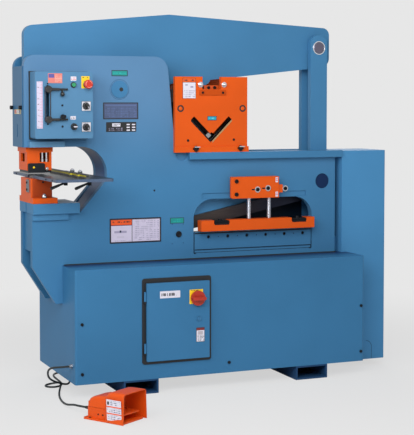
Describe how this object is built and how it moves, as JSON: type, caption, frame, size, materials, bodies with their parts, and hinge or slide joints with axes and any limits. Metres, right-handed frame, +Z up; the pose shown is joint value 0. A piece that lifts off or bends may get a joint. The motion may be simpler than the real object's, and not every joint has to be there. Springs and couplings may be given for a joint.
{
  "type": "hydraulic ironworker",
  "caption": "Floor-standing hydraulic ironworker with a rocking beam, a punching throat and gauging table, an angle shear, a flat bar shear and a corded foot switch.",
  "frame": {"origin": "on the floor, midway between the two fork tubes, under the middle plane of the two frame plates", "axes": "+X towards the right-hand column as the operator faces the machine, +Y to the back, +Z up"},
  "size_m": [1.862, 1.1338, 1.733],
  "materials": {
    "blue_paint": "textured enamel",
    "dark_blue_paint": "textured enamel",
    "orange_paint": "gloss enamel",
    "grey_paint": "satin enamel",
    "ground_steel": "ground",
    "bright_steel": "bright plated",
    "black_steel": "black oxide",
    "black_plastic": "moulded",
    "green_plastic": "moulded",
    "red_plastic": "moulded",
    "black_rubber": "matt jacket"
  },
  "bodies": {
    "machine": {"angle_shear_housing": "orange_paint", "arm_pivot_pin": "bright_steel", "base_shell": "blue_paint", "bolster": "blue_paint", "cap_screws": "black_steel", "column_cover": "blue_paint", "control_box": "blue_paint", "cord_gland": "bright_steel", "cord_strain_relief": "black_rubber", "cylinder_barrel": "blue_paint", "die": "ground_steel", "die_block": "orange_paint", "enclosure_box": "blue_paint", "fixed_angle_blades": "ground_steel", "foot_switch_cord": "black_rubber", "fork_tubes": "dark_blue_paint", "frame_spacers": "blue_paint", "front_cover": "blue_paint", "front_frame_plate": "blue_paint", "gauging_table": "grey_paint", "hold_down_bracket": "orange_paint", "lower_blade_bed": "blue_paint", "lower_shear_blade": "ground_steel", "main_pivot_pin": "bright_steel", "module_rails": "blue_paint", "nose_cover": "blue_paint", "oil_tank": "blue_paint", "pedal_base": "orange_paint", "pedal_guard": "orange_paint", "pump_motor": "grey_paint", "punch_housing": "orange_paint", "rear_frame_plate": "blue_paint", "stripper": "black_steel", "throat_liner": "dark_blue_paint"},
    "beam": {"beam": "blue_paint", "upper_link_pin": "bright_steel"},
    "links": {"shear_links": "blue_paint"},
    "arm": {"shear_arm": "blue_paint", "upper_shear_blade": "ground_steel", "lower_link_pin": "bright_steel"},
    "angle_slide": {"angle_shear_slide": "orange_paint"},
    "ram": {"punch_ram": "bright_steel", "punch_nut": "black_steel", "punch": "ground_steel"},
    "hold_down": {"hold_down_bar": "orange_paint", "hold_down_studs": "bright_steel"},
    "fence": {"table_fence": "bright_steel"},
    "lever_left": {"table_lever_left": "black_steel"},
    "lever_right": {"table_lever_right": "black_steel"},
    "upper_stop": {"upper_stroke_arm": "black_steel"},
    "lower_stop": {"lower_stroke_arm": "black_steel"},
    "start": {"start_button": "green_plastic"},
    "estop": {"estop_button": "red_plastic"},
    "upper_mode": {"upper_mode_knob": "black_plastic"},
    "lower_mode": {"lower_mode_knob": "black_plastic"},
    "selector": {"selector_knob": "black_plastic"},
    "door": {"enclosure_door": "blue_paint"},
    "isolator": {"isolator_handle": "red_plastic"},
    "latch": {"door_latch": "bright_steel"},
    "treadle": {"pedal_treadle": "orange_paint"}
  },
  "joints": [
    {"name": "beam_rock", "type": "hinge", "parent": "machine", "child": "beam", "pos_m": [-0.465, 0, 1.378], "axis": [0, 1, 0], "range_deg": [0, 8]},
    {"name": "arm_swing", "type": "hinge", "parent": "machine", "child": "arm", "pos_m": [-0.175, 0, 0.696], "axis": [0, 1, 0], "range_deg": [0, 11]},
    {"name": "link_swing", "type": "hinge", "parent": "beam", "child": "links", "pos_m": [0.585, 0, 1.587], "axis": [0, 1, 0], "range_deg": [-9.2, 0]},
    {"name": "angle_slide_travel", "type": "slide", "parent": "machine", "child": "angle_slide", "axis": [0, 0, -1], "range_m": [0, 0.064]},
    {"name": "ram_travel", "type": "slide", "parent": "machine", "child": "ram", "axis": [0, 0, -1], "range_m": [0, 0.044]},
    {"name": "hold_down_height", "type": "slide", "parent": "machine", "child": "hold_down", "axis": [0, 0, 1], "range_m": [0, 0.03]},
    {"name": "fence_setting", "type": "slide", "parent": "machine", "child": "fence", "axis": [1, 0, 0], "range_m": [-0.05, 0.08]},
    {"name": "left_clamp_lever", "type": "hinge", "parent": "machine", "child": "lever_left", "pos_m": [-0.752, -0.205, 0.966], "axis": [0, 0, 1], "range_deg": [-40, 40]},
    {"name": "right_clamp_lever", "type": "hinge", "parent": "machine", "child": "lever_right", "pos_m": [-0.655, -0.25, 0.966], "axis": [0, 0, 1], "range_deg": [-40, 40]},
    {"name": "upper_stop_setting", "type": "slide", "parent": "machine", "child": "upper_stop", "axis": [0, 0, 1], "range_m": [-0.035, 0.008]},
    {"name": "lower_stop_setting", "type": "slide", "parent": "machine", "child": "lower_stop", "axis": [0, 0, 1], "range_m": [-0.008, 0.035]},
    {"name": "start_press", "type": "slide", "parent": "machine", "child": "start", "axis": [0, 1, 0], "range_m": [0, 0.004], "stiffness_N_per_m": 600, "springref_m": -0.003},
    {"name": "estop_press", "type": "slide", "parent": "machine", "child": "estop", "axis": [0, 1, 0], "range_m": [0, 0.006]},
    {"name": "upper_mode_turn", "type": "hinge", "parent": "machine", "child": "upper_mode", "pos_m": [-0.655, -0.21, 1.302], "axis": [0, 1, 0], "range_deg": [0, 90]},
    {"name": "lower_mode_turn", "type": "hinge", "parent": "machine", "child": "lower_mode", "pos_m": [-0.655, -0.21, 1.208], "axis": [0, 1, 0], "range_deg": [0, 90]},
    {"name": "selector_turn", "type": "hinge", "parent": "machine", "child": "selector", "pos_m": [-0.711, -0.21, 1.21], "axis": [0, 1, 0], "range_deg": [-45, 45]},
    {"name": "door_swing", "type": "hinge", "parent": "machine", "child": "door", "pos_m": [-0.4165, -0.312, 0.3265], "axis": [0, 0, -1], "range_deg": [0, 110]},
    {"name": "isolator_turn", "type": "hinge", "parent": "door", "child": "isolator", "pos_m": [-0.166, -0.325, 0.427], "axis": [0, 1, 0], "range_deg": [0, 90]},
    {"name": "latch_turn", "type": "hinge", "parent": "door", "child": "latch", "pos_m": [-0.158, -0.32, 0.331], "axis": [0, 1, 0], "range_deg": [0, 90]},
    {"name": "treadle_press", "type": "hinge", "parent": "machine", "child": "treadle", "pos_m": [-0.676, -0.6919, 0.034], "axis": [0.8387, 0.5446, 0], "range_deg": [0, 10], "stiffness_Nm_per_rad": 4, "springref_deg": -8.59}
  ],
  "couplings": [
    {"joint": "arm_swing", "follows": "beam_rock", "ratio": 1.365},
    {"joint": "link_swing", "follows": "beam_rock", "ratio": -1.142},
    {"joint": "angle_slide_travel", "follows": "beam_rock", "m_per_rad": 0.453}
  ]
}
